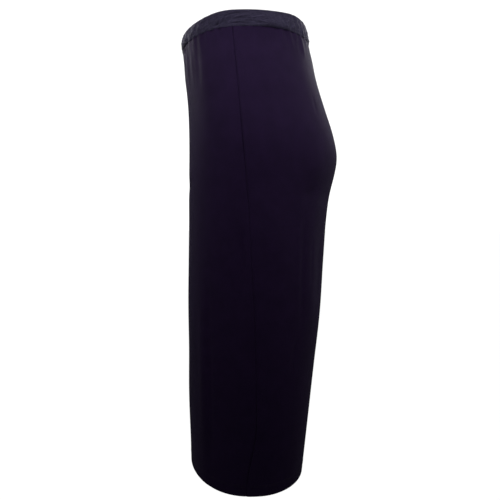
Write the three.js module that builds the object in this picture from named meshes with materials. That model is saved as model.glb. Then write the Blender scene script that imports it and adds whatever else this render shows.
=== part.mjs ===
// A long pencil skirt in stretch jersey, in the hollow form that it has when it is worn.
// Three pieces are cut and sewn: a front panel and a back panel, joined at two side seams, and a
// waistband, which is a strip folded over a ring of elastic and gathered by it.
// Millimetres, +Z up. The wearer faces -Y, and +X is the wearer's left side. The origin is the centre
// of the waist, level with the waistband's top edge at the two sides.
// An angle goes round the body in degrees: 0 centre front, 90 left side seam, 180 centre back,
// 270 right side seam.

import * as THREE from 'three';

// ---- Driving sizes ----

const CLOTH = 1.6; // thickness of a panel's jersey
const CASING = 3.4; // thickness of the waistband: two layers of jersey with elastic between them
const CASING_PROUD = 0.8; // how far the waistband stands outside the panels
const SEAM_GAP = 0.3; // clearance between neighbouring pieces at each seam
const HEM_TURN_UP = 20; // height of the hem's turn-up, which is in one piece with each panel
const HEM_LAYER = 0.8; // how much thicker the turn-up makes the panel, on the inside
const HEM_STEP = 2; // height over which it thickens

const FRONT_ROUNDNESS = 2.2; // superellipse exponent of a section's front half, 2 being an ellipse
const BACK_ROUNDNESS = 2.15; // and of its back half

const PANEL_COLUMNS = 54; // steps round one panel, from side seam to side seam
const PUCKER_ROWS = [0, 7, 15, 25, 38]; // distances below the panel's top edge of the gathered rows
const FIRST_LEVEL = -100; // level of the first row under the gathered ones
const ROW_STEP = 60; // longest step between the rows under it
const NORMAL_TURN = 0.5; // degrees to each side of a point, between which its direction is measured

const GATHERS = 52; // waves round the waistband
const STEPS_PER_GATHER = 6;
const GATHER_DEPTH = 0.9; // how far a wave rises or sinks on the waistband's outer face
const GATHER_SLANT = 1.3; // radians that a wave leans by, from the bottom of the band to its top

const PUCKERS = 46; // soft tucks round the skirt, under the waistband
const PUCKER_DEPTH = 1.1;
const PUCKER_LENGTH = 45; // distance below the waistband at which the tucks have died out

// ---- Shape tables ----

// The cloth's outer face at each level: how far it reaches in front (-Y) and behind (+Y), half its
// width, and the Y of the side seams, where the section is widest.
const SECTIONS = rows(['level', 'front', 'back', 'half', 'seam'], [
  [15, -114.5, 118, 155, -19],
  [-30, -113.5, 126, 157, -15],
  [-60, -110.5, 132, 167, -12],
  [-100, -107, 141.5, 178, -8],
  [-150, -102.5, 157, 187, -3],
  [-200, -101, 173, 193, 1],
  [-240, -101, 178.5, 195, 5],
  [-270, -101.5, 174.5, 195, 7],
  [-305, -102, 165.5, 194, 10],
  [-350, -102, 159.5, 194, 13],
  [-420, -103, 155, 191, 17],
  [-520, -104.5, 149, 187, 22],
  [-620, -104, 137.5, 184, 25],
  [-730, -101.5, 125.5, 178, 26],
  [-840, -99, 113.5, 173, 19],
]);

// The edges round the body, as level + swing * cos(angle) + dip * cos(2 * angle) + ripple *
// cos(3 * angle): the waist rises to the back, and the hem rises a little at the front.
const WAIST_EDGE = { level: -3.3, swing: -13.5, dip: -3.3, ripple: 0 };
const BAND_HEIGHT = { level: 27, swing: -4.5, dip: 0, ripple: 0 };
const HEM_EDGE = { level: -823.5, swing: 7.5, dip: 4.5, ripple: 2.2 };

// Soft folds down the panels. Each one wanders from its angle at the top to its angle at the foot.
// Half the width is the distance at which it has sunk to 60 percent. A height below 0 is a trough.
const FOLDS = rows(['top', 'foot', 'topAngle', 'footAngle', 'halfWidth', 'height'], [
  [-470, -815, 28, 25, 13, 2.4], // ridge near the left of the front
  [-440, -800, 38, 36, 17, -2.0],
  [-310, -540, 77, 84, 16, -2.6], // trough ahead of the left side seam
  [-300, -480, 104, 110, 18, 1.5],
  [-350, -620, 136, 140, 14, 2.4], // ridge under the left of the seat
  [-300, -570, 150, 153, 17, -3.0],
  [-330, -600, 182, 179, 22, -2.0], // hollow under the seat, at the centre back
  [-320, -550, 208, 206, 16, -2.6],
  [-360, -590, 222, 219, 15, 2.0],
  [-340, -560, 274, 279, 15, -2.2], // trough ahead of the right side seam
  [-430, -760, 321, 325, 18, -2.2],
  [-490, -790, 333, 336, 13, 2.1], // ridge near the right of the front
  [-480, -800, 2, -1, 26, -1.8], // hollow between the thighs, at the centre front
]);

// What makes the gathers and tucks uneven: slow waves round the body that push them closer or further
// apart, by radians of a gather, and that make them stronger or fainter than their mean strength.
const SPACING_WAVES = rows(['turns', 'swing', 'start'], [
  [3, 0.9, -1.2],
  [7, 0.6, 0.3],
]);
const STRENGTH_WAVES = rows(['turns', 'swing', 'start'], [
  [5, 0.2, 0.8],
  [11, 0.1, 0],
]);
const MEAN_STRENGTH = 0.7;

// ---- Numbers and curves ----

/** Turns plain lists into rows with named columns. */
function rows(columns, lists) {
  return lists.map((list) => Object.fromEntries(columns.map((name, i) => [name, list[i]])));
}

const radians = THREE.MathUtils.degToRad;

/** Slope of a column at one row of a table, from the rows on both sides of it. */
function slopeAt(table, column, i) {
  const step = (a, b) => (table[b][column] - table[a][column]) / (table[b].level - table[a].level);
  if (i === 0) return step(0, 1);
  if (i === table.length - 1) return step(i - 1, i);
  const above = Math.abs(table[i].level - table[i - 1].level);
  const below = Math.abs(table[i + 1].level - table[i].level);
  return (step(i - 1, i) * below + step(i, i + 1) * above) / (above + below);
}

/** Value of a column of the sections at any level, on a smooth curve through the rows. */
function sectionValue(column, level) {
  const last = SECTIONS.length - 1;
  const z = THREE.MathUtils.clamp(level, SECTIONS[last].level, SECTIONS[0].level);
  let i = 0;
  while (i < last - 1 && z < SECTIONS[i + 1].level) i += 1;
  const run = SECTIONS[i + 1].level - SECTIONS[i].level;
  const t = (z - SECTIONS[i].level) / run;
  const start = SECTIONS[i][column];
  const end = SECTIONS[i + 1][column];
  const leave = slopeAt(SECTIONS, column, i) * run;
  const arrive = slopeAt(SECTIONS, column, i + 1) * run;
  return (2 * t ** 3 - 3 * t ** 2 + 1) * start + (t ** 3 - 2 * t ** 2 + t) * leave
    + (3 * t ** 2 - 2 * t ** 3) * end + (t ** 3 - t ** 2) * arrive;
}

/** Height of an edge at an angle round the body. */
function edgeAt(edge, angle) {
  const a = radians(angle);
  return edge.level + edge.swing * Math.cos(a) + edge.dip * Math.cos(2 * a)
    + edge.ripple * Math.cos(3 * a);
}

/** Level of the seam between the waistband and the panels. */
function bandSeamAt(angle) {
  return edgeAt(WAIST_EDGE, angle) - edgeAt(BAND_HEIGHT, angle);
}

/** Signed difference between two angles, from -180 to 180. */
function turnBetween(from, to) {
  return THREE.MathUtils.euclideanModulo(to - from + 180, 360) - 180;
}

// ---- The worn surface ----

/** A point of the plain section at a level, before any fold. */
function sectionPoint(angle, level) {
  const a = radians(angle);
  const inFront = Math.cos(a) > 0;
  const roundness = inFront ? FRONT_ROUNDNESS : BACK_ROUNDNESS;
  const across = Math.abs(Math.sin(a));
  const along = Math.abs(Math.cos(a));
  const reach = (across ** roundness + along ** roundness) ** (-1 / roundness);
  const seam = sectionValue('seam', level);
  const depth = Math.abs(sectionValue(inFront ? 'front' : 'back', level) - seam);
  return new THREE.Vector2(
    sectionValue('half', level) * reach * Math.sin(a),
    seam - depth * reach * Math.cos(a),
  );
}

/** Direction straight out of the section at a point, level with it. */
function outwardAt(angle, level) {
  const ahead = sectionPoint(angle + NORMAL_TURN, level);
  const behind = sectionPoint(angle - NORMAL_TURN, level);
  return new THREE.Vector2(ahead.y - behind.y, behind.x - ahead.x).normalize();
}

/** How far the folds lift or sink the cloth at a point. */
function foldRelief(angle, level) {
  let relief = 0;
  for (const fold of FOLDS) {
    if (level > fold.top || level < fold.foot) continue;
    const down = (fold.top - level) / (fold.top - fold.foot);
    const centre = THREE.MathUtils.lerp(fold.topAngle, fold.footAngle, down);
    const turn = radians(turnBetween(centre, angle));
    const aside = turn * sectionPoint(centre, level).length();
    const fade = Math.sin(Math.PI * down) ** 2;
    relief += fold.height * fade * Math.exp(-0.5 * (aside / fold.halfWidth) ** 2);
  }
  return relief;
}

/** Sum of slow waves round the body, each with its turns, its swing and where it starts. */
function slowWaves(waves, angle) {
  const a = radians(angle);
  return waves.reduce((sum, { turns, swing, start }) => sum + swing * Math.cos(turns * a + start), 0);
}

/** Uneven wave round the body, from -1 to 1, whose spacing and strength wander. */
function unevenWave(count, angle, lean) {
  const strength = MEAN_STRENGTH + slowWaves(STRENGTH_WAVES, angle);
  return strength * Math.cos(count * radians(angle) + slowWaves(SPACING_WAVES, angle) + lean);
}

/** How far the tucks under the waistband lift or sink the cloth at a point. */
function puckerRelief(angle, level) {
  const below = bandSeamAt(angle) - level;
  if (below > PUCKER_LENGTH) return 0;
  const fade = (1 - Math.max(below, 0) / PUCKER_LENGTH) ** 2;
  return PUCKER_DEPTH * fade * unevenWave(PUCKERS, angle, 0);
}

/** A point of a panel's cloth, a distance outside its outer face. */
function clothPoint(angle, level, outside) {
  const relief = foldRelief(angle, level) + puckerRelief(angle, level);
  return liftedPoint(angle, level, outside + relief);
}

/** A point at a level, a distance outside the plain section. */
function liftedPoint(angle, level, outside) {
  const point = sectionPoint(angle, level).addScaledVector(outwardAt(angle, level), outside);
  return new THREE.Vector3(point.x, point.y, level);
}

// ---- Solids from grids of points ----

/** Closed mesh from points and four-sided faces, which are listed anticlockwise from outside. */
function solid(name, points, quads, material) {
  const geometry = new THREE.BufferGeometry().setFromPoints(points);
  geometry.setIndex(quads.flatMap(([a, b, c, d]) => [a, b, c, a, c, d]));
  geometry.computeVertexNormals();
  const mesh = new THREE.Mesh(geometry, material);
  mesh.name = name;
  return mesh;
}

/** Levels of the rows under the gathered ones: those of the sections, with long steps divided. */
function bodyLevels() {
  const levels = SECTIONS.map((section) => section.level).filter((level) => level <= FIRST_LEVEL);
  return levels.slice(0, -1).flatMap((level, i) => {
    const step = levels[i + 1] - level;
    const parts = Math.ceil(Math.abs(step) / ROW_STEP);
    return Array.from({ length: parts }, (_, part) => level + (step * part) / parts);
  });
}

/** Levels of all the rows of a panel at an angle where it reaches from top to hem. */
function panelLevels(top, hem) {
  const gathered = PUCKER_ROWS.map((below) => top - below);
  const turnUp = hem + HEM_TURN_UP;
  return [...gathered, ...bodyLevels(), turnUp + HEM_STEP, turnUp, hem];
}

/** A wall of cloth from one side seam to the other, about the angle of its own centre. */
function panel(name, centreAngle, material) {
  const nearSide = centreAngle === 0 ? 'front' : 'back';
  const points = [];
  for (let column = 0; column <= PANEL_COLUMNS; column += 1) {
    const angle = centreAngle - 90 + (180 * column) / PANEL_COLUMNS;
    const top = bandSeamAt(angle) - SEAM_GAP;
    const hem = edgeAt(HEM_EDGE, angle);
    for (const level of panelLevels(top, hem)) {
      const depth = Math.abs(sectionValue(nearSide, level) - sectionValue('seam', level));
      const halfGap = THREE.MathUtils.radToDeg(SEAM_GAP / 2 / depth);
      const shift = THREE.MathUtils.lerp(halfGap, -halfGap, column / PANEL_COLUMNS);
      const wall = level > hem + HEM_TURN_UP ? CLOTH : CLOTH + HEM_LAYER;
      points.push(clothPoint(angle + shift, level, 0), clothPoint(angle + shift, level, -wall));
    }
  }
  const rowCount = points.length / 2 / (PANEL_COLUMNS + 1);
  const outer = (column, row) => 2 * (column * rowCount + row);
  const inner = (column, row) => outer(column, row) + 1;
  const quads = [];
  for (let c = 0; c < PANEL_COLUMNS; c += 1) {
    for (let r = 0; r < rowCount - 1; r += 1) {
      quads.push([outer(c, r), outer(c, r + 1), outer(c + 1, r + 1), outer(c + 1, r)]);
      quads.push([inner(c, r), inner(c + 1, r), inner(c + 1, r + 1), inner(c, r + 1)]);
    }
    const foot = rowCount - 1;
    quads.push([outer(c, 0), outer(c + 1, 0), inner(c + 1, 0), inner(c, 0)]);
    quads.push([outer(c, foot), inner(c, foot), inner(c + 1, foot), outer(c + 1, foot)]);
  }
  for (let r = 0; r < rowCount - 1; r += 1) {
    const far = PANEL_COLUMNS;
    quads.push([outer(0, r), inner(0, r), inner(0, r + 1), outer(0, r + 1)]);
    quads.push([outer(far, r), outer(far, r + 1), inner(far, r + 1), inner(far, r)]);
  }
  return solid(name, points, quads, material);
}

// Section of the casing, from its bottom edge round its outer face: how far across its thickness, how
// far up its height, and how much of the gathers shows there.
const CASING_SECTION = rows(['across', 'up', 'gather'], [
  [0.5, 0, 0],
  [0.93, 0.07, 0.3],
  [1, 0.3, 1],
  [1, 0.66, 1],
  [0.95, 0.93, 0.4],
  [0.5, 1, 0],
  [0, 0.94, 0],
  [0, 0.06, 0],
]);

/** The elastic casing: a ring that is plain inside and gathered outside. */
function waistband(name, material) {
  const columnCount = GATHERS * STEPS_PER_GATHER;
  const pointCount = CASING_SECTION.length;
  const points = [];
  for (let column = 0; column < columnCount; column += 1) {
    const angle = (360 * column) / columnCount;
    const height = edgeAt(BAND_HEIGHT, angle);
    for (const { across, up, gather } of CASING_SECTION) {
      const level = bandSeamAt(angle) + up * height;
      const relief = gather * GATHER_DEPTH * unevenWave(GATHERS, angle, GATHER_SLANT * up);
      const outside = CASING_PROUD - CASING * (1 - across) + relief;
      points.push(liftedPoint(angle, level, outside));
    }
  }
  const at = (column, i) => (column % columnCount) * pointCount + (i % pointCount);
  const quads = [];
  for (let c = 0; c < columnCount; c += 1) {
    for (let i = 0; i < pointCount; i += 1) {
      quads.push([at(c, i), at(c + 1, i), at(c + 1, i + 1), at(c, i + 1)]);
    }
  }
  return solid(name, points, quads, material);
}

// ---- The skirt ----

const panelJersey = new THREE.MeshStandardMaterial({ color: 0x1c1526, roughness: 0.85, metalness: 0 });
const bandJersey = new THREE.MeshStandardMaterial({ color: 0x2b283a, roughness: 0.85, metalness: 0 });

const skirt = new THREE.Group();
skirt.add(waistband('waistband', bandJersey));
skirt.add(panel('front_panel', 0, panelJersey));
skirt.add(panel('back_panel', 180, panelJersey));

export default skirt;
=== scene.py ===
"""A long pencil skirt in stretch jersey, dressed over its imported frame.

Three pieces of cloth are modelled as they are cut and sewn: a front panel and a back panel that meet
at two side seams, and a strip that is folded over a ring of elastic as the waistband. Each piece of
cloth starts as a flat sheet, with its seam allowances and its turn-up, and is draped on the worn
form.

The shape's sizes are in millimetres and its angles in degrees, and every mesh is in metres. The
wearer faces -Y and +X is the wearer's left. An angle goes round the body: 0 centre front, 90 left
side seam, 180 centre back, 270 right side seam. The origin is the centre of the waist.
"""

import logging
import math
from collections.abc import Callable, Sequence
from dataclasses import dataclass, field
from enum import Enum

import bmesh
import bpy
import numpy as np
from mathutils import Matrix, Vector

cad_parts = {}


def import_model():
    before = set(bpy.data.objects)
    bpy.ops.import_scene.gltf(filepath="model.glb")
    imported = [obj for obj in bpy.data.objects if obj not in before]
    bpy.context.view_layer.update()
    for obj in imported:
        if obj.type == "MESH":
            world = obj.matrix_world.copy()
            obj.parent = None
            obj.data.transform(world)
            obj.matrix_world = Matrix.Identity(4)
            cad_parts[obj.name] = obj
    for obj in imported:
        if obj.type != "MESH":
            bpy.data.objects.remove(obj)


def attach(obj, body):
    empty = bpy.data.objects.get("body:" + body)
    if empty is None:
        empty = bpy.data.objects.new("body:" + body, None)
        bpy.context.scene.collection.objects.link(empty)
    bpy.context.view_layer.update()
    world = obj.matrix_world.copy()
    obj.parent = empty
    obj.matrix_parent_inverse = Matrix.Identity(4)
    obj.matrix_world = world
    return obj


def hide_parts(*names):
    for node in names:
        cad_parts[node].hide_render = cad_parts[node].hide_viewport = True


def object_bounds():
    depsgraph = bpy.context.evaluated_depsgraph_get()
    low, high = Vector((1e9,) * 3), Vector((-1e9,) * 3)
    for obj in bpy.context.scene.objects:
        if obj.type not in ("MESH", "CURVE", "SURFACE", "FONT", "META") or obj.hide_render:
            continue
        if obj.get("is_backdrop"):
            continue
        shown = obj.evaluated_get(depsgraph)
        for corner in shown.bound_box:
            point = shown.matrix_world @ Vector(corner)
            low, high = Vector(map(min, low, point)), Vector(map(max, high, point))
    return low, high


Array = np.ndarray
Colour = tuple[float, float, float]

LOG = logging.getLogger("pencil_skirt")

# A millimetre in metres. The sizes below it are in millimetres: the seam allowance, the hem's turn-up,
# and how near the two ends of a closed strip are joined.
MM = 0.001
SEAM_ALLOWANCE = 8
TURN_UP = 20
WELD = 0.02


# ---- Helpers ----


def turn_from(centre: Array, angle: Array) -> Array:
    """Signed turn from one angle to another, from -180 to 180 degrees."""
    return (angle - centre + 180) % 360 - 180


def share_down(level: Array, top: float, foot: float) -> Array:
    """Share of the way down from a top level to a foot, kept from 0 to 1."""
    return np.clip((top - level) / (top - foot), 0, 1)


def bell(distance: Array) -> Array:
    """Smooth hump that is 1 high and has sunk to 60 percent at a distance of 1."""
    return np.exp(-0.5 * distance**2)


def eased(share: Array) -> Array:
    """Share of the way from 0 to 1, with a soft start and a soft end."""
    return share**2 * (3 - 2 * share)


def add_object(name: str, data: bpy.types.ID) -> bpy.types.Object:
    """Adds an object to the scene.

    Args:
        name: its name.
        data: its mesh, its light or its camera.

    Returns:
        The object.
    """
    thing = bpy.data.objects.new(name, data)
    bpy.context.scene.collection.objects.link(thing)
    return thing


# ---- The worn form ----


@dataclass(frozen=True)
class Section:
    """The cloth's outer face at one level.

    It has its reach in front and behind, half its width, and the place of the side seams, where it is
    widest.
    """

    level: float
    front: float
    back: float
    half: float
    seam: float


@dataclass(frozen=True)
class Fold:
    """A soft fold that wanders from one angle to another on its way down.

    Half its width is the distance at which it has sunk to 60 percent. A height below 0 is a trough.
    """

    top: float
    foot: float
    top_angle: float
    foot_angle: float
    half_width: float
    height: float


@dataclass(frozen=True)
class Wave:
    """A slow wave round the body: how many turns it makes, its swing, and where it starts."""

    turns: int
    swing: float
    start: float


@dataclass(frozen=True)
class Edge:
    """An edge round the body, as a level and the waves that lift and lower it."""

    level: float
    swing: float
    dip: float
    ripple: float

    def at(self, angle: Array) -> Array:
        """Height of the edge at each angle."""
        a = np.radians(angle)
        return (
            self.level
            + self.swing * np.cos(a)
            + self.dip * np.cos(2 * a)
            + self.ripple * np.cos(3 * a)
        )


SECTIONS = (
    Section(15, -114.5, 118, 155, -19),
    Section(-30, -113.5, 126, 157, -15),
    Section(-60, -110.5, 132, 167, -12),
    Section(-100, -107, 141.5, 178, -8),
    Section(-150, -102.5, 157, 188, -3),
    Section(-200, -101, 173, 196, 1),
    Section(-240, -101, 179.5, 197.5, 5),
    Section(-270, -101.5, 174.5, 196.5, 7),
    Section(-305, -102, 165.5, 194.5, 10),
    Section(-350, -102, 159.5, 194, 13),
    Section(-420, -103, 155, 191, 17),
    Section(-520, -104.5, 149, 187, 22),
    Section(-620, -104, 137.5, 184, 25),
    Section(-730, -101.5, 125.5, 178, 26),
    Section(-840, -99, 113.5, 173, 19),
)

FOLDS = (
    Fold(-390, -870, 46, 45.2, 10, 2.9),
    Fold(-400, -870, 53, 52, 5, -1.9),
    Fold(-310, -540, 77, 84, 16, -2.6),
    Fold(-300, -480, 104, 110, 18, 1.5),
    Fold(-350, -620, 136, 140, 14, 1.2),
    Fold(-300, -570, 150, 153, 17, -3.0),
    Fold(-330, -600, 182, 179, 22, -2.0),
    Fold(-320, -550, 208, 206, 16, -2.6),
    Fold(-360, -590, 222, 219, 15, 2.0),
    Fold(-340, -560, 274, 279, 15, -2.2),
    Fold(-430, -760, 321, 325, 18, -2.2),
    Fold(-490, -790, 333, 336, 13, 2.1),
    Fold(-480, -800, 2, -1, 26, -1.8),
)


@dataclass
class WornForm:
    """The surface that the cloth lies on, in the hollow shape that the skirt has when it is worn.

    Cloth spans small dents, so each size is eased over some distance up and down.
    """

    sections: tuple[Section, ...] = SECTIONS
    folds: tuple[Fold, ...] = FOLDS
    waist_edge: Edge = Edge(-3.3, -13.5, -3.3, 0)
    band_height: Edge = Edge(27, -4.5, 0, 0)
    hem_edge: Edge = Edge(-823.5, 7.5, 4.5, 2.2)
    front_roundness: float = 2.2
    back_roundness: float = 2.15
    normal_turn: float = 0.5
    puckers: int = 46
    pucker_depth: float = 1.1
    pucker_length: float = 45
    spacing_waves: tuple[Wave, ...] = (Wave(3, 0.9, -1.2), Wave(7, 0.6, 0.3))
    strength_waves: tuple[Wave, ...] = (Wave(5, 0.2, 0.8), Wave(11, 0.1, 0))
    mean_strength: float = 0.7
    ease_ahead: float = 9
    ease_aside: float = 24
    ease_reach: float = 2.5
    ease_steps: int = 21
    levels: Array = field(init=False)
    eased: dict[str, Array] = field(init=False)

    def __post_init__(self) -> None:
        """Works out the eased curves once, at every millimetre."""
        self.levels = np.arange(self.sections[-1].level, self.sections[0].level + 1)
        self.eased = {}
        for name in ("front", "back", "half", "seam"):
            ease = self.ease_ahead if name in ("front", "back") else self.ease_aside
            offsets = np.linspace(-self.ease_reach, self.ease_reach, self.ease_steps)
            moved = [self.curve(name, self.levels + offset * ease) for offset in offsets]
            self.eased[name] = np.average(moved, axis=0, weights=bell(offsets))

    def measure(self, name: str, level: Array) -> Array:
        """Eased value of one of the sections' sizes at each level."""
        return np.interp(level, self.levels, self.eased[name])

    def curve(self, name: str, level: Array) -> Array:
        """Value of one of the sections' sizes at each level, on a smooth curve through the rows.

        Args:
            name: the size's name in Section.
            level: levels at which it is wanted.

        Returns:
            The size at each level.
        """
        levels = np.array([row.level for row in reversed(self.sections)])
        values = np.array([getattr(row, name) for row in reversed(self.sections)])
        runs = np.diff(levels)
        steps = np.diff(values) / runs
        slopes = np.empty_like(values)
        slopes[0] = steps[0]
        slopes[-1] = steps[-1]
        slopes[1:-1] = (steps[:-1] * runs[1:] + steps[1:] * runs[:-1]) / (runs[:-1] + runs[1:])
        i = np.clip(np.searchsorted(levels, level, side="right") - 1, 0, len(runs) - 1)
        above = np.maximum(level - levels[-1], 0)
        below = np.minimum(level - levels[0], 0)
        t = (level - above - below - levels[i]) / runs[i]
        beyond = above * slopes[-1] + below * slopes[0]
        return (
            (2 * t**3 - 3 * t**2 + 1) * values[i]
            + (t**3 - 2 * t**2 + t) * runs[i] * slopes[i]
            + (3 * t**2 - 2 * t**3) * values[i + 1]
            + (t**3 - t**2) * runs[i] * slopes[i + 1]
            + beyond
        )

    def band_seam_at(self, angle: Array) -> Array:
        """Level of the seam between the waistband and the panels."""
        return self.waist_edge.at(angle) - self.band_height.at(angle)

    def depth_at(self, angle: Array, level: Array) -> Array:
        """How far the section reaches from its side seams to its front or its back.

        Args:
            angle: angles round the body, which tell the front from the back.
            level: levels of the sections.

        Returns:
            The reach in millimetres.
        """
        seam = self.measure("seam", level)
        front = np.abs(self.measure("front", level) - seam)
        back = np.abs(self.measure("back", level) - seam)
        return np.where(np.cos(np.radians(angle)) > 0, front, back)

    def section_point(self, angle: Array, level: Array) -> tuple[Array, Array]:
        """A point of the plain section at each level, before any fold.

        Args:
            angle: angles round the body.
            level: levels of the sections.

        Returns:
            The points' places along X and Y.
        """
        a = np.radians(angle)
        roundness = np.where(np.cos(a) > 0, self.front_roundness, self.back_roundness)
        spread = np.abs(np.sin(a)) ** roundness + np.abs(np.cos(a)) ** roundness
        reach = spread ** (-1 / roundness)
        x = self.measure("half", level) * reach * np.sin(a)
        y = self.measure("seam", level) - self.depth_at(angle, level) * reach * np.cos(a)
        return x, y

    def outward(self, angle: Array, level: Array) -> tuple[Array, Array]:
        """Level direction straight out of the section at each point.

        Args:
            angle: angles round the body.
            level: levels of the points.

        Returns:
            The direction's parts along X and Y.
        """
        ahead = self.section_point(angle + self.normal_turn, level)
        behind = self.section_point(angle - self.normal_turn, level)
        across = ahead[1] - behind[1]
        along = behind[0] - ahead[0]
        length = np.hypot(across, along)
        return across / length, along / length

    def fold_relief(self, angle: Array, level: Array) -> Array:
        """How far the folds lift or sink the cloth at each point.

        Args:
            angle: angles round the body.
            level: levels of the points.

        Returns:
            The relief in millimetres.
        """
        relief = np.zeros(np.broadcast(angle, level).shape)
        for fold in self.folds:
            down = share_down(level, fold.top, fold.foot)
            centre = fold.top_angle + (fold.foot_angle - fold.top_angle) * down
            radius = np.hypot(*self.section_point(centre, level))
            aside = np.radians(turn_from(centre, angle)) * radius
            relief += fold.height * np.sin(np.pi * down) ** 2 * bell(aside / fold.half_width)
        return relief

    def slow_waves(self, waves: Sequence[Wave], angle: Array) -> Array:
        """Sum of slow waves round the body."""
        a = np.radians(angle)
        return sum(wave.swing * np.cos(wave.turns * a + wave.start) for wave in waves)

    def uneven_wave(self, count: float, angle: Array, lean: Array) -> Array:
        """Uneven wave round the body, whose spacing and strength wander.

        Args:
            count: how many crests it has.
            angle: angles round the body.
            lean: radians that the wave is moved on by.

        Returns:
            The wave, from -1 to 1.
        """
        strength = self.mean_strength + self.slow_waves(self.strength_waves, angle)
        phase = count * np.radians(angle) + self.slow_waves(self.spacing_waves, angle) + lean
        return strength * np.cos(phase)

    def pucker_relief(self, angle: Array, level: Array) -> Array:
        """How far the tucks under the waistband lift or sink the cloth at each point.

        Args:
            angle: angles round the body.
            level: levels of the points.

        Returns:
            The relief in millimetres.
        """
        below = np.clip(self.band_seam_at(angle) - level, 0, self.pucker_length)
        fade = (1 - below / self.pucker_length) ** 2
        return self.pucker_depth * fade * self.uneven_wave(self.puckers, angle, 0)

    def plain_point(self, angle: Array, level: Array, outside: Array) -> Array:
        """Points at each angle and level, a distance outside the plain section.

        Args:
            angle: angles round the body.
            level: levels of the points.
            outside: distances out of the plain section.

        Returns:
            Points in millimetres, with X, Y and Z on the last axis.
        """
        x, y = self.section_point(angle, level)
        out_x, out_y = self.outward(angle, level)
        z = np.broadcast_to(level, x.shape)
        return np.stack([x + out_x * outside, y + out_y * outside, z], axis=-1)

    def cloth_point(self, angle: Array, level: Array, outside: Array) -> Array:
        """Points on the folded and tucked cloth, a distance outside its outer face."""
        relief = self.fold_relief(angle, level) + self.pucker_relief(angle, level)
        return self.plain_point(angle, level, outside + relief)


# ---- Seams ----


@dataclass(frozen=True)
class SideSeam:
    """A side seam, which swings a little to the front over the last stretch above the hem."""

    angle: float
    swing: float
    swing_top: float = -700
    swing_foot: float = -815

    def at(self, level: Array) -> Array:
        """Angle of the seam at each level."""
        return self.angle + self.swing * eased(share_down(level, self.swing_top, self.swing_foot))


@dataclass(frozen=True)
class SideSeams:
    """The two side seams, with their allowances pressed to the back.

    Each seam's groove is open over the hip, is pressed shut between the press levels, and opens again
    between the slacken levels. The allowances lift the cloth that lies on them.
    """

    form: WornForm
    left: SideSeam = SideSeam(90, -5.5)
    right: SideSeam = SideSeam(270, 3)
    allowance: float = SEAM_ALLOWANCE
    lift_at_seam: float = 0.8
    lift_height: float = 1.2
    lift_rise: float = 3
    lift_reach: float = 16
    press_top: float = -190
    press_foot: float = -320
    slacken_top: float = -650
    slacken_foot: float = -730
    open_groove: float = 1.3
    pressed_groove: float = 0.12
    slack_groove: float = 1.4
    pressed_lift: float = 0.45

    def groove(self, level: Array) -> Array:
        """How far the seam's groove is open.

        Args:
            level: levels of the points.

        Returns:
            The opening, where 0 is pressed shut and 1 is a round fold.
        """
        press = eased(share_down(level, self.press_top, self.press_foot))
        slack = eased(share_down(level, self.slacken_top, self.slacken_foot))
        over_thigh = self.open_groove + (self.pressed_groove - self.open_groove) * press
        return over_thigh + (self.slack_groove - self.pressed_groove) * slack

    def softness(self, level: Array) -> Array:
        """How much the allowances lift the cloth: most over the hip, and less further down."""
        press = eased(share_down(level, self.press_top, self.press_foot))
        return 1 - (1 - self.pressed_lift) * press

    def behind(self, angle: Array, level: Array) -> Array:
        """How far behind the nearer side seam each point lies.

        Args:
            angle: angles round the body.
            level: levels of the points.

        Returns:
            The distance in millimetres, which is below 0 ahead of the seam.
        """
        turn = angle % 360
        nearest = np.minimum(turn - self.left.at(level), self.right.at(level) - turn)
        return np.radians(nearest) * self.form.depth_at(angle, level)

    def lift(self, angle: Array, level: Array) -> Array:
        """How far the allowances lift the cloth that lies on them.

        Args:
            angle: angles round the body.
            level: levels of the points.

        Returns:
            The lift in millimetres.
        """
        behind = self.behind(angle, level)
        rise = np.clip(behind / self.lift_rise, 0, 1)
        fall = eased(share_down(behind, self.lift_reach, self.allowance))
        height = self.lift_at_seam + (self.lift_height - self.lift_at_seam) * rise
        return np.where(behind < 0, 0, height * fall * self.softness(level))


@dataclass(frozen=True)
class Swell:
    """A stretch of the waistband that stands further out or up.

    Half its width is the turn in degrees at which it has sunk to 60 percent.
    """

    angle: float
    half_width: float
    height: float


def swell_at(swells: Sequence[Swell], angle: Array) -> Array:
    """Sum of some swells at each angle."""
    return sum(swell.height * bell(turn_from(swell.angle, angle) / swell.half_width) for swell in swells)


@dataclass(frozen=True)
class WaistSeam:
    """The seam under the waistband, which draws the cloth in and lets the band hang over it."""

    form: WornForm
    draw: float = 0.4
    draw_reach: float = 4
    swells: tuple[Swell, ...] = (
        Swell(121, 9, 3.0),
        Swell(74, 6, 0.8),
        Swell(26, 7, 1.8),
        Swell(168, 12, 1.0),
        Swell(212, 16, 1.8),
        Swell(262, 11, 1.3),
        Swell(305, 14, 1.6),
        Swell(345, 12, 0.9),
    )
    bulks: tuple[Swell, ...] = (Swell(91.5, 3.5, 1.5), Swell(268.5, 3.5, 1.5))

    def draw_in(self, angle: Array, level: Array) -> Array:
        """How far the seam draws the cloth in at each point."""
        away = (level - self.form.band_seam_at(angle)) / self.draw_reach
        return -self.draw * np.exp(-(away**2))

    def swell(self, angle: Array) -> Array:
        """How far the band stands out over the seam at each angle."""
        return swell_at(self.swells, angle)

    def bulk(self, angle: Array) -> Array:
        """How far the side seams' folded ends push the band's inner layer in at each angle."""
        return swell_at(self.bulks, angle)


# ---- Creases ----


@dataclass(frozen=True)
class Crease:
    """A short soft crease or ridge in the cloth.

    It is centred at an angle and a drop below the waistband's seam, and leans by degrees from upright.
    Its width is the distance at which it has sunk to 60 percent. A height below 0 is a crease.
    """

    angle: float
    drop: float
    length: float
    width: float
    lean: float
    height: float


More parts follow.
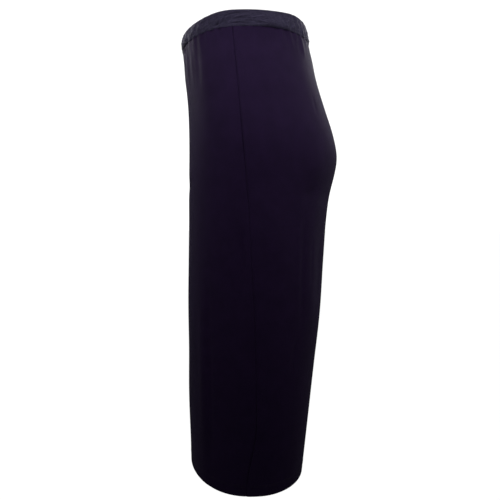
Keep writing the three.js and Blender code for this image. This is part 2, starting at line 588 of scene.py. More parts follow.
def crease_relief(form: WornForm, creases: Sequence[Crease], angle: Array, level: Array) -> Array:
    """How far a set of short creases lifts or sinks the cloth at each point.

    Args:
        form: the worn form that the creases lie on.
        creases: the creases.
        angle: angles round the body.
        level: levels of the points.

    Returns:
        The relief in millimetres.
    """
    radius = np.hypot(*form.section_point(angle, level))
    below = form.band_seam_at(angle) - level
    relief = np.zeros(np.broadcast(angle, level).shape)
    for crease in creases:
        aside = np.radians(turn_from(crease.angle, angle)) * radius
        down = below - crease.drop
        lean = math.radians(crease.lean)
        across = aside * math.cos(lean) + down * math.sin(lean)
        along = down * math.cos(lean) - aside * math.sin(lean)
        reach = np.clip(np.abs(along) / (crease.length / 2), 0, 1)
        fade = np.cos(0.5 * np.pi * reach) ** 2
        relief += crease.height * fade * bell(across / crease.width)
    return relief


# ---- Cloth that turns in at a seam ----


@dataclass(frozen=True)
class TurnPoint:
    """A point of the cloth's right side near a seam or a hem.

    Millimetres from the seam line into the piece, out of the form, and into the piece where the seam
    is pressed shut.
    """

    inward: float
    outside: float
    pressed: float


# How cloth dives under its neighbour's fold: millimetres into the piece, share of the whole drop, and
# millimetres into the piece where the seam is pressed shut.
DIVE = (
    (-0.9, 1, -0.9),
    (-0.3, 0.95, -0.3),
    (0.1, 0.77, 0.1),
    (0.4, 0.53, 0.1),
    (0.8, 0.3, 0.05),
    (1.4, 0.13, -0.12),
    (2.2, 0.04, -0.3),
)


@dataclass(frozen=True)
class Jersey:
    """The knitted cloth, and how it turns at its edges."""

    thickness: float = 0.7
    turn_radius: float = 0.8
    turn_steps: int = 6
    layer_gap: float = 0.1
    allowance_shares: tuple[float, ...] = (1, 0.66, 0.33)
    pressed_pull: float = 1.4

    def folded(self, allowance: float, approach: Sequence[float]) -> list[TurnPoint]:
        """Cloth that is folded back under itself, from its raw edge to its outer face.

        Args:
            allowance: width of the cloth that lies folded inside.
            approach: distances from the fold at which the outer face has points.

        Returns:
            The points in order.
        """
        radius = self.turn_radius
        places = [(allowance * share, -2 * radius) for share in self.allowance_shares]
        for step in range(self.turn_steps + 1):
            phi = math.radians(270 - 180 * step / self.turn_steps)
            places.append((radius * (1 + math.cos(phi)), radius * (math.sin(phi) - 1)))
        places += [(distance, 0) for distance in approach]
        return [TurnPoint(inward, outside, inward) for inward, outside in places]

    def tucked(self, allowance: float, approach: Sequence[float]) -> list[TurnPoint]:
        """Cloth that dives under its neighbour's fold, from its raw edge to its outer face.

        Args:
            allowance: width of the cloth that lies under the neighbour.
            approach: distances from the seam at which the outer face has points.

        Returns:
            The points in order.
        """
        under = -2 * self.turn_radius - self.layer_gap
        inside = [-allowance * share for share in self.allowance_shares]
        return (
            [TurnPoint(inward, under, inward) for inward in inside]
            + [TurnPoint(inward, under * drop, pressed) for inward, drop, pressed in DIVE]
            + [TurnPoint(inward, 0, inward - self.pressed_pull / inward) for inward in approach]
        )


class Side(Enum):
    """A side of the body, by the angle of its centre."""

    FRONT = 0
    BACK = 180


# ---- Meshes ----


def grid_mesh(name: str, points: Array, flat: Array, closed: bool = False) -> bpy.types.Object:
    """A sheet of cloth, started as a flat grid and draped on a grid of points.

    Args:
        name: the piece's name.
        points: places in millimetres, by row from the bottom and by column.
        flat: places on the flat cloth in millimetres, by row and by column.
        closed: whether the first and the last column are sewn together.

    Returns:
        The sheet's object, in metres.
    """
    row_count, column_count = points.shape[:2]
    mesh = bpy.data.meshes.new(name)
    sheet = bmesh.new()
    cloth = sheet.loops.layers.uv.new("cloth")
    bmesh.ops.create_grid(
        sheet, x_segments=column_count - 1, y_segments=row_count - 1, size=1, calc_uvs=True
    )
    for vertex in sheet.verts:
        column = round((vertex.co.x + 1) / 2 * (column_count - 1))
        row = round((vertex.co.y + 1) / 2 * (row_count - 1))
        for loop in vertex.link_loops:
            loop[cloth].uv = flat[row, column] * MM
        vertex.co = points[row, column] * MM
    if closed:
        ends = [vertex for vertex in sheet.verts if vertex.is_boundary]
        bmesh.ops.remove_doubles(sheet, verts=ends, dist=WELD * MM)
    for face in sheet.faces:
        face.smooth = True
    sheet.to_mesh(mesh)
    sheet.free()
    return add_object(name, mesh)


def flatten(points: Array, centre: int, top: int) -> Array:
    """Lays draped cloth out flat, by the lengths of its rows and its columns.

    Args:
        points: places of the draped cloth, by row from the bottom and by column.
        centre: the column from which widths are measured.
        top: the row from which lengths are measured.

    Returns:
        Places on the flat cloth in millimetres, by row and by column.
    """
    across = np.zeros(points.shape[:2])
    along = np.zeros(points.shape[:2])
    across[:, 1:] = np.cumsum(np.linalg.norm(np.diff(points, axis=1), axis=2), axis=1)
    along[1:] = np.cumsum(np.linalg.norm(np.diff(points, axis=0), axis=2), axis=0)
    across -= across[:, centre : centre + 1]
    along += points[top, :, 2] - along[top]
    return np.stack([across, along], axis=-1)


def cloth_piece(
    name: str, points: Array, centre: int, top: int, thickness: float, closed: bool = False
) -> bpy.types.Object:
    """Makes a draped piece of cloth, with its thickness on its wrong side, and logs its cut.

    Args:
        name: the piece's name.
        points: places of its right side in millimetres, by row from the bottom and by column.
        centre: the column from which widths are measured.
        top: the row from which lengths are measured.
        thickness: thickness in millimetres.
        closed: whether the first and the last column are sewn together.

    Returns:
        The piece.
    """
    flat = flatten(points, centre, top)
    piece = grid_mesh(name, points, flat, closed)
    shell = piece.modifiers.new("cloth thickness", "SOLIDIFY")
    shell.thickness = thickness * MM
    shell.offset = -1
    width = np.ptp(flat[..., 0], axis=1)
    length = np.ptp(flat[..., 1], axis=0)
    LOG.info("%s: cut %.0f by %.0f mm", name, width.max(), length.max())
    return piece


# ---- Finishes ----


def group_socket(
    group: bpy.types.NodeTree, name: str, kind: str, way: str, value: float | None = None
) -> None:
    """Adds a named input or output to a node group.

    Args:
        group: the group.
        name: the socket's name.
        kind: the socket's type, such as NodeSocketFloat.
        way: INPUT or OUTPUT.
        value: default of a number.
    """
    socket = group.interface.new_socket(name=name, in_out=way, socket_type=kind)
    if value is not None:
        socket.default_value = value


def maths(tree: bpy.types.NodeTree, operation: str, *values: object) -> bpy.types.NodeSocket:
    """A math node.

    Args:
        tree: the node tree that it goes in.
        operation: the operation's name.
        values: numbers, or sockets to link, in order.

    Returns:
        The node's result.
    """
    node = tree.nodes.new("ShaderNodeMath")
    node.operation = operation
    for socket, value in zip(node.inputs, values):
        if isinstance(value, bpy.types.NodeSocket):
            tree.links.new(value, socket)
        else:
            socket.default_value = value
    return node.outputs[0]


def new_group(
    tree: bpy.types.NodeTree, group: bpy.types.NodeTree, values: dict[str, float]
) -> bpy.types.ShaderNodeGroup:
    """A node group placed in a material.

    Args:
        tree: the material's node tree.
        group: the group.
        values: numbers for the group's inputs, by their names.

    Returns:
        The group's node.
    """
    node = tree.nodes.new("ShaderNodeGroup")
    node.node_tree = group
    for name, value in values.items():
        node.inputs[name].default_value = value
    return node


def bump_node(
    tree: bpy.types.NodeTree, height: bpy.types.NodeSocket, depth: float, strength: float = 1
) -> bpy.types.ShaderNodeBump:
    """A bump node.

    Args:
        tree: the material's node tree.
        height: the height, from 0 to 1.
        depth: how deep a height of 1 is, in metres.
        strength: how strong the bump is.

    Returns:
        The node.
    """
    bump = tree.nodes.new("ShaderNodeBump")
    bump.inputs["Strength"].default_value = strength
    bump.inputs["Distance"].default_value = depth
    tree.links.new(height, bump.inputs["Height"])
    return bump


def new_material(name: str, colour: Colour) -> tuple[bpy.types.Material, bpy.types.Node]:
    """A new material.

    Args:
        name: its name.
        colour: its colour in plain views.

    Returns:
        The material and its shader.
    """
    material = bpy.data.materials.new(name)
    material.use_nodes = True
    material.diffuse_color = (*colour, 1)
    return material, material.node_tree.nodes["Principled BSDF"]


# How far a stitch's legs slant over half a wale, in courses, and how much its loops swell.
STITCH_SLANT = 1.6
STITCH_SWELL = 0.3


def knit_group() -> bpy.types.NodeTree:
    """Group that gives the height of plain jersey's columns of small V-shaped stitches.

    Returns:
        The group, which reads the flat cloth's own coordinates.
    """
    group = bpy.data.node_groups.new("jersey knit", "ShaderNodeTree")
    group_socket(group, "Cloth", "NodeSocketVector", "INPUT")
    group_socket(group, "Wale Width", "NodeSocketFloat", "INPUT", 0.0009)
    group_socket(group, "Course Height", "NodeSocketFloat", "INPUT", 0.0007)
    group_socket(group, "Height", "NodeSocketFloat", "OUTPUT")
    source = group.nodes.new("NodeGroupInput")
    result = group.nodes.new("NodeGroupOutput")
    split = group.nodes.new("ShaderNodeSeparateXYZ")
    group.links.new(source.outputs["Cloth"], split.inputs[0])
    wale = maths(group, "DIVIDE", split.outputs["X"], source.outputs["Wale Width"])
    course = maths(group, "DIVIDE", split.outputs["Y"], source.outputs["Course Height"])
    aside = maths(group, "PINGPONG", wale, 0.5)
    legs = maths(group, "SINE", maths(group, "MULTIPLY", aside, 2 * math.pi))
    slanted = maths(group, "ADD", course, maths(group, "MULTIPLY", aside, STITCH_SLANT))
    loops = maths(group, "SINE", maths(group, "MULTIPLY", slanted, 2 * math.pi))
    height = maths(group, "MULTIPLY_ADD", loops, STITCH_SWELL, 1 - STITCH_SWELL)
    group.links.new(maths(group, "MULTIPLY", legs, height), result.inputs["Height"])
    return group


# How much stronger the nap's broad patches are than its fuzz.
PATCH_STRENGTH = 1.4


def nap_group() -> bpy.types.NodeTree:
    """Group that gives the uneven tone and the fine fuzz of brushed cloth.

    Returns:
        The group, with a tone about 1 and a fuzz from 0 to 1.
    """
    group = bpy.data.node_groups.new("cloth nap", "ShaderNodeTree")
    group_socket(group, "Place", "NodeSocketVector", "INPUT")
    group_socket(group, "Patch Scale", "NodeSocketFloat", "INPUT", 14)
    group_socket(group, "Fuzz Scale", "NodeSocketFloat", "INPUT", 420)
    group_socket(group, "Unevenness", "NodeSocketFloat", "INPUT", 0.1)
    group_socket(group, "Tone", "NodeSocketFloat", "OUTPUT")
    group_socket(group, "Fuzz", "NodeSocketFloat", "OUTPUT")
    source = group.nodes.new("NodeGroupInput")
    result = group.nodes.new("NodeGroupOutput")
    noises = []
    for scale_name, detail in (("Patch Scale", 4), ("Fuzz Scale", 2)):
        noise = group.nodes.new("ShaderNodeTexNoise")
        noise.inputs["Detail"].default_value = detail
        group.links.new(source.outputs["Place"], noise.inputs["Vector"])
        group.links.new(source.outputs[scale_name], noise.inputs["Scale"])
        noises.append(noise.outputs["Fac"])
    patches = maths(group, "SUBTRACT", noises[0], 0.5)
    fuzz = maths(group, "SUBTRACT", noises[1], 0.5)
    both = maths(group, "MULTIPLY_ADD", patches, PATCH_STRENGTH, fuzz)
    tone = maths(group, "MULTIPLY_ADD", both, source.outputs["Unevenness"], 1)
    group.links.new(tone, result.inputs["Tone"])
    group.links.new(noises[1], result.inputs["Fuzz"])
    return group


def pucker_group() -> bpy.types.NodeTree:
    """Group that gives the fine uneven puckers of jersey gathered over elastic.

    Returns:
        The group, whose height runs from 0 to 1.
    """
    group = bpy.data.node_groups.new("fine puckers", "ShaderNodeTree")
    group_socket(group, "Cloth", "NodeSocketVector", "INPUT")
    group_socket(group, "Length", "NodeSocketFloat", "INPUT", 0.01)
    group_socket(group, "Width", "NodeSocketFloat", "INPUT", 0.003)
    group_socket(group, "Slant", "NodeSocketFloat", "INPUT", 0.4)
    group_socket(group, "Height", "NodeSocketFloat", "OUTPUT")
    source = group.nodes.new("NodeGroupInput")
    result = group.nodes.new("NodeGroupOutput")
    split = group.nodes.new("ShaderNodeSeparateXYZ")
    group.links.new(source.outputs["Cloth"], split.inputs[0])
    slid = maths(group, "MULTIPLY", split.outputs["X"], source.outputs["Slant"])
    along = maths(group, "DIVIDE", split.outputs["X"], source.outputs["Length"])
    across = maths(
        group, "DIVIDE", maths(group, "SUBTRACT", split.outputs["Y"], slid), source.outputs["Width"]
    )
    joined = group.nodes.new("ShaderNodeCombineXYZ")
    group.links.new(along, joined.inputs["X"])
    group.links.new(across, joined.inputs["Y"])
    noise = group.nodes.new("ShaderNodeTexNoise")
    noise.inputs["Scale"].default_value = 1
    noise.inputs["Detail"].default_value = 0.8
    noise.inputs["Distortion"].default_value = 0.9
    group.links.new(joined.outputs[0], noise.inputs["Vector"])
    spread = group.nodes.new("ShaderNodeMapRange")
    spread.inputs["From Min"].default_value = 0.28
    spread.inputs["From Max"].default_value = 0.72
    group.links.new(noise.outputs["Fac"], spread.inputs["Value"])
    group.links.new(spread.outputs["Result"], result.inputs["Height"])
    return group


@dataclass(frozen=True)
class JerseyFinish:
    """Colour, sheen and knit of a piece of jersey. Its sizes are in metres."""

    name: str
    colour: Colour
    roughness: float = 0.85
    specular: float = 0.1
    sheen: float = 0.04
    sheen_roughness: float = 0.3
    sheen_tint: Colour = (0.75, 0.75, 1.0)
    wale_width: float = 0.0009
    course_height: float = 0.0007
    knit_depth: float = 0.00012
    knit_strength: float = 0.6
    patch_scale: float = 40
    unevenness: float = 0.3
    fuzz_height: float = 0.5
    fuzz_roughness: float = 0.12
    pucker_length: float = 0.009
    pucker_width: float = 0.003
    pucker_slant: float = 0.35
    pucker_depth: float = 0
    # How strongly the pucker crests are painted lighter and their hollows darker: painted highlight and
    # painted shade.
    pucker_painted_shade: float = 0

    def material(
        self, knit: bpy.types.NodeTree, nap: bpy.types.NodeTree, puckers: bpy.types.NodeTree
    ) -> bpy.types.Material:
        """Makes the finish.

        Args:
            knit: the jersey knit group.
            nap: the cloth nap group.
            puckers: the fine puckers group.

        Returns:
            The material.
        """
        material, shader = new_material(self.name, self.colour)
        tree = material.node_tree
        shader.inputs["Specular IOR Level"].default_value = self.specular
        shader.inputs["Sheen Weight"].default_value = self.sheen
        shader.inputs["Sheen Roughness"].default_value = self.sheen_roughness
        shader.inputs["Sheen Tint"].default_value = (*self.sheen_tint, 1)

        cloth = tree.nodes.new("ShaderNodeUVMap")
        cloth.uv_map = "cloth"
        stitches = new_group(
            tree, knit, {"Wale Width": self.wale_width, "Course Height": self.course_height}
        )
        tree.links.new(cloth.outputs["UV"], stitches.inputs["Cloth"])
        place = tree.nodes.new("ShaderNodeTexCoord")
        fuzz = new_group(
            tree, nap, {"Patch Scale": self.patch_scale, "Unevenness": self.unevenness}
        )
        tree.links.new(place.outputs["Object"], fuzz.inputs["Place"])
        tone = fuzz.outputs["Tone"]
        relief = maths(
            tree, "MULTIPLY_ADD", fuzz.outputs["Fuzz"], self.fuzz_height, stitches.outputs["Height"]
        )
        bump = bump_node(tree, relief, self.knit_depth, self.knit_strength)

        if self.pucker_depth:
            sizes = {
                "Length": self.pucker_length,
                "Width": self.pucker_width,
                "Slant": self.pucker_slant,
            }
            gathered = new_group(tree, puckers, sizes)
            tree.links.new(cloth.outputs["UV"], gathered.inputs["Cloth"])
            raised = gathered.outputs["Height"]
            # Painted shade: the colour is made lighter on the pucker crests and darker in their hollows.
            painted_crest_shade = maths(tree, "MULTIPLY_ADD", raised, self.pucker_painted_shade, 1 - self.pucker_painted_shade / 2)
            tone = maths(tree, "MULTIPLY", tone, painted_crest_shade)
            swollen = bump_node(tree, raised, self.pucker_depth)
            tree.links.new(swollen.outputs["Normal"], bump.inputs["Normal"])

        yarn = tree.nodes.new("ShaderNodeVectorMath")
        yarn.operation = "SCALE"
        yarn.inputs[0].default_value = self.colour
        tree.links.new(tone, yarn.inputs["Scale"])
        tree.links.new(yarn.outputs[0], shader.inputs["Base Color"])
        smooth = self.roughness - self.fuzz_roughness / 2
        rough = maths(tree, "MULTIPLY_ADD", fuzz.outputs["Fuzz"], self.fuzz_roughness, smooth)
        tree.links.new(rough, shader.inputs["Roughness"])
        tree.links.new(bump.outputs["Normal"], shader.inputs["Normal"])
        return material


@dataclass(frozen=True)
class ThreadFinish:
    """Twisted sewing thread in the cloth's colour."""

    name: str
    colour: Colour
    roughness: float = 0.55
    specular: float = 0.35
    twist_scale: float = 900
    twist_depth: float = 0.0001
    twist_strength: float = 0.5
    twist_roughness: float = 0.2

    def material(self) -> bpy.types.Material:
        """Makes the finish.

        Returns:
            The material.
        """
        material, shader = new_material(self.name, self.colour)
        tree = material.node_tree
        shader.inputs["Base Color"].default_value = (*self.colour, 1)
        shader.inputs["Specular IOR Level"].default_value = self.specular
        place = tree.nodes.new("ShaderNodeTexCoord")
        twist = tree.nodes.new("ShaderNodeTexWave")
        twist.wave_type = "BANDS"
        twist.bands_direction = "DIAGONAL"
        twist.inputs["Scale"].default_value = self.twist_scale
        tree.links.new(place.outputs["Object"], twist.inputs["Vector"])
        smooth = self.roughness - self.twist_roughness / 2
        rough = maths(tree, "MULTIPLY_ADD", twist.outputs["Fac"], self.twist_roughness, smooth)
        tree.links.new(rough, shader.inputs["Roughness"])
        bump = bump_node(tree, twist.outputs["Fac"], self.twist_depth, self.twist_strength)
        tree.links.new(bump.outputs["Normal"], shader.inputs["Normal"])
        return material


# ---- Panels ----


@dataclass
class Panel:
    """A panel of the skirt: its cut, its seams and its turn-up."""

    side: Side
    form: WornForm
    jersey: Jersey
    seams: SideSeams
    waist: WaistSeam
    creases: tuple[Crease, ...] = ()
    turn_up: float = TURN_UP
    seam_approach: tuple[float, ...] = (3.2, 4.6, 6.4, 9)
    hem_approach: tuple[float, ...] = (2, 4)
    waist_approach: tuple[float, ...] = (1.8, 3.2)
    middle_columns: int = 150
    tuck_rows: int = 22
    tuck_reach: float = 46
    body_rows: int = 148
    swing_share: float = 0.3
    edge_share: float = 0.4

    @property
    def name(self) -> str:
        """Name of the node that the panel stands for."""
        return "front_panel" if self.side is Side.FRONT else "back_panel"

    def columns(self) -> tuple[Array, Array, Array, Array]:
        """Places of the sheet's columns, from its right edge to its left.

        Returns:
            Share of the way from seam to seam, millimetres aside of it, millimetres outside, and
            millimetres aside where the seams are pressed shut.
        """
        allowance = self.seams.allowance
        if self.side is Side.FRONT:
            edge = self.jersey.tucked(allowance, self.seam_approach)
        else:
            edge = self.jersey.folded(allowance, self.seam_approach)
        inward, outside, pressed = (
            np.array([getattr(point, name) for point in edge])
            for name in ("inward", "outside", "pressed")
        )
        share = np.linspace(0, 1, self.middle_columns + 2)[1:-1]
        zeros = np.zeros(len(edge))
        return (
            np.concatenate([zeros, share, zeros + 1]),
            np.concatenate([inward, inward[-1] * (1 - 2 * share), -inward[::-1]]),
            np.concatenate([outside, np.zeros(self.middle_columns), outside[::-1]]),
            np.concatenate([pressed, pressed[-1] * (1 - 2 * share), -pressed[::-1]]),
        )

    def levels(self) -> tuple[Array, Array, Array]:
        """Places of the sheet's rows, from its turn-up's raw edge to its waist allowance's.

        Returns:
            Share of the way from hem to waist seam, millimetres above it, and millimetres outside.
        """
        hem = self.jersey.folded(self.turn_up, self.hem_approach)
        waist = self.jersey.folded(self.seams.allowance, self.waist_approach)[::-1]
        tucks = np.linspace(self.tuck_reach, waist[0].inward, self.tuck_rows + 1)[:-1]
        share = np.linspace(0, 1, self.body_rows + 2)[1:-1]
        above = hem[-1].inward * (1 - share) - self.tuck_reach * share
        flat_rows = np.zeros(self.body_rows + len(tucks))
        return (
            np.concatenate([np.zeros(len(hem)), share, np.ones(len(tucks) + len(waist))]),
            np.concatenate([[p.inward for p in hem], above, -tucks, [-p.inward for p in waist]]),
            np.concatenate([[p.outside for p in hem], flat_rows, [p.outside for p in waist]]),
        )

    def angles(self, share: Array, aside: Array, level: Array) -> Array:
        """Angles of the sheet's points.

        Args:
            share: share of the way from seam to seam.
            aside: millimetres aside of it.
            level: levels of the points.

        Returns:
            The angles, by row and by column.
        """
        plain = self.side.value - 90 + 180 * share
        if self.side is Side.FRONT:
            first, last = self.seams.right, self.seams.left
        else:
            first, last = self.seams.left, self.seams.right
        near_first = np.clip(1 - share / self.swing_share, 0, 1) ** 2
        near_last = np.clip(1 - (1 - share) / self.swing_share, 0, 1) ** 2
        swung = plain + near_first * (first.at(level) - first.angle)
        swung = swung + near_last * (last.at(level) - last.angle)
        near_edge = np.abs(share - 0.5) > self.edge_share
        depth = self.form.depth_at(swung + np.sign(aside) * near_edge, level)
        return swung + np.degrees(aside / depth)

    def drape(self) -> Array:
        """Drapes the whole sheet on the worn form.

        Returns:
            The cloth's places, by row from the bottom and by column.
        """
        column_share, open_aside, column_outside, pressed = (
            column[None, :] for column in self.columns()
        )
        row_share, above, row_outside = (row[:, None] for row in self.levels())
        nominal = self.side.value - 90 + 180 * column_share
        hem = self.form.hem_edge.at(nominal)
        waist = self.form.band_seam_at(nominal)
        level = hem + (waist - hem) * row_share + above
        groove = self.seams.groove(level)
        aside = open_aside * groove + pressed * (1 - groove)
        angle = self.angles(column_share, aside, level)
        outside = column_outside + row_outside + self.seams.lift(angle, level)
        outside = outside + crease_relief(self.form, self.creases, angle, level)
        outside = outside + self.waist.draw_in(angle, level)
        return self.form.cloth_point(angle, level, outside)

    def build(self) -> bpy.types.Object:
        """Makes the panel as one sheet of cloth.

        Returns:
            The panel.
        """
        points = self.drape()
        column_share = self.columns()[0]
        row_share = self.levels()[0]
        centre = int(np.argmin(np.abs(column_share - 0.5)))
        top = int(np.argmax(row_share == 1))
        return cloth_piece(f"{self.name}_cloth", points, centre, top, self.jersey.thickness)


# ---- Waistband ----


# The waistband's roll out of the waist seam: millimetres above the seam, millimetres outside, and how
# much of the gathers shows.
LOWER_ROLL = (
    (-0.46, 0.06, 0.1),
    (-0.42, 0.22, 0.2),
    (-0.1, 0.42, 0.3),
    (0.5, 0.62, 0.4),
    (1.3, 0.76, 0.5),
    (2.2, 0.82, 0.65),
    (3.2, 0.8, 0.8),
)

# The seam allowance of the waistband's inner layer: millimetres above the seam and millimetres outside.
INNER_ALLOWANCE = ((-1, -2.9), (-3, -3.2), (-5.5, -3.2), (-SEAM_ALLOWANCE, -3.2))


@dataclass(frozen=True)
class Gather:
    """Uneven waves round the waistband: how many, how deep, and the radians that they lean by."""

    count: int
    depth: float
    slant: float


@dataclass
class Waistband:
    """The strip that is folded over a ring of elastic and gathered by it.

    The gathers are calmer round some angles. They show less at the foot and at the top.
    """

    form: WornForm
    jersey: Jersey
    waist: WaistSeam
    creases: tuple[Crease, ...] = ()
    gathers: tuple[Gather, ...] = (Gather(52, 0.75, 1.3), Gather(121, 0.2, 4.2), Gather(33, 0.3, -2.6))
    foot_show: float = 0.9
    top_show: float = 0.5
    top_fade: float = 2.5
    calm_angles: tuple[float, ...] = (97, 255)
    calm_width: float = 26
    calm: float = 0.65
    columns: int = 780
    proud: float = 0.8
    casing: float = 3.4
    crown: float = 0.35
    seam_allowance: float = SEAM_ALLOWANCE
    face_start: float = 4.4
    inner_start: float = 1
    inner_face: float = -2.2
    hang_start: float = -0.5
    rises: tuple[Swell, ...] = (
        Swell(79, 14, 2.3),
        Swell(141, 9, 2.2),
        Swell(214, 15, 1.5),
        Swell(286, 13, 2.0),
        Swell(338, 10, 1.1),
    )
    leans: tuple[Swell, ...] = (Swell(50, 17, 0.8), Swell(312, 18, 0.8))
    face_rows: int = 24
    inner_rows: int = 8
    turn_steps: int = 7
    joint_angle: float = 180

    def profile(self) -> tuple[Array, Array, Array, Array]:
        """Section of the strip, from its outer layer's raw edge, over the top, to its inner one's.

        Returns:
            Share of the band's height, millimetres above it, millimetres outside, and how much of
            the gathers shows.
        """
        radius = self.casing / 2
        rows: list[tuple[float, float, float, float]] = []
        for point in self.jersey.tucked(self.seam_allowance, ()):
            rows.append((0, point.pressed, point.outside, 0))
        rows += [(0, above, outside, show) for above, outside, show in LOWER_ROLL]
        for step in range(self.face_rows + 1):
            share = step / self.face_rows
            above = self.face_start * (1 - share) - radius * share
            crown = self.crown * math.sin(math.pi * share)
            show = min(1, self.foot_show + share, self.top_show + self.top_fade * (1 - share))
            rows.append((share, above, self.proud + crown, show))
        for step in range(1, self.turn_steps):
            phi = math.pi * step / self.turn_steps
            outside = self.proud - radius + radius * math.cos(phi)
            show = self.top_show * (1 + math.cos(phi)) / 2
            rows.append((1, radius * (math.sin(phi) - 1), outside, show))
        for step in range(self.inner_rows + 1):
            share = 1 - step / self.inner_rows
            above = self.inner_start * (1 - share) - radius * share
            rows.append((share, above, self.proud - self.casing, 0))
        rows += [(0, above, outside, 0) for above, outside in INNER_ALLOWANCE]
        return tuple(np.array(column, dtype=float) for column in zip(*rows))

    def waves(self, angle: Array, share: Array) -> Array:
        """Relief of the gathers.

        Args:
            angle: angles round the body.
            share: share of the band's height.

        Returns:
            The relief in millimetres.
        """
        waves = sum(
            gather.depth * self.form.uneven_wave(gather.count, angle, gather.slant * share)
            for gather in self.gathers
        )
        for middle in self.calm_angles:
            waves = waves * (1 - self.calm * bell(turn_from(middle, angle) / self.calm_width))
        return waves

    def drape(self) -> Array:
        """Drapes the whole strip on the worn form.

        Returns:
            The cloth's places, by row from the bottom and by column.
        """
        share, above, outside, show = (column[:, None] for column in self.profile())
        angle = self.joint_angle + np.linspace(0, 360, self.columns + 1)[None, :]
        seam = self.form.band_seam_at(angle)
        height = self.form.band_height.at(angle)
        level = seam + share * (height + swell_at(self.rises, angle)) + above
        creased = crease_relief(self.form, self.creases, angle, level)
        up = np.clip((level - seam - self.hang_start) / height, 0, 1)
        hang = np.sin(np.pi * up**0.5) ** 2 * (show > 0) * self.waist.swell(angle)
        pushed = np.clip(self.inner_face - outside, 0, 1) * self.waist.bulk(angle)
        outside = outside + show * (self.waves(angle, share) + creased) + hang
        outside = outside - share * swell_at(self.leans, angle) - pushed
        angles = np.broadcast_to(angle, level.shape)
        return self.form.plain_point(angles, level, outside + self.waist.draw_in(angle, level))

    def build(self) -> bpy.types.Object:
        """Makes the waistband as one strip of cloth, joined at its ends.

        Returns:
            The waistband.
        """
        centre = self.columns // 2
        top = int(np.argmax(self.profile()[0] == 1))
        return cloth_piece(
            "waistband_cloth", self.drape(), centre, top, self.jersey.thickness, closed=True
        )


# ---- Sewing ----


# How much less each next vertex's number weighs than the one before it, in the rank of a bead's face.
RANK_STEP = 0.0001


def face_rank(face: bmesh.types.BMFace) -> float:
    """Rank of a face, which puts the beads' faces in the same order in every run.

    Args:
        face: a face of a mesh with fewer than 10,000 numbered vertices.

    Returns:
        The rank, by the numbers of its last three vertices.
    """
    last, middle, first = sorted((vertex.index for vertex in face.verts), reverse=True)[:3]
    return last + middle * RANK_STEP + first * RANK_STEP**2


@dataclass
class Stitching:
    """Rows of short stitches, each one a slim bead of thread."""

    name: str
    thread: float = 0.42
    around: int = 6
    rings: int = 4
    batch: int = 60
    places: list[Matrix] = field(default_factory=list)

    def stitch(self, start: Array, end: Array) -> None:
        """Adds one stitch.

        Args:
            start: the point where it comes out of the cloth, in millimetres.
            end: the point where it goes back in.
        """
        run = Vector(end - start) * MM
        turn = run.to_track_quat("Z", "Y").to_matrix().to_4x4()
        place = Matrix.Translation(Vector((start + end) / 2) * MM)
        width = self.thread / 2 * MM
        self.places.append(place @ turn @ Matrix.Diagonal((width, width, run.length / 2, 1)))

    def build(self) -> bpy.types.Object:
        """Makes all the stitches one piece.

        Returns:
            The piece.
        """
        whole = bmesh.new()
        for first in range(0, len(self.places), self.batch):
            beads = bmesh.new()
            for place in self.places[first : first + self.batch]:
                bmesh.ops.create_uvsphere(
                    beads,
                    u_segments=self.around,
                    v_segments=self.rings,
                    radius=1,
                    matrix=place,
                )
            beads.verts.index_update()
            beads.faces.sort(key=face_rank)
            part = bpy.data.meshes.new(self.name)
            beads.to_mesh(part)
            beads.free()
            whole.from_mesh(part)
            bpy.data.meshes.remove(part)
        for face in whole.faces:
            face.smooth = True
        mesh = bpy.data.meshes.new(self.name)
        whole.to_mesh(mesh)
        whole.free()
        return add_object(self.name, mesh)


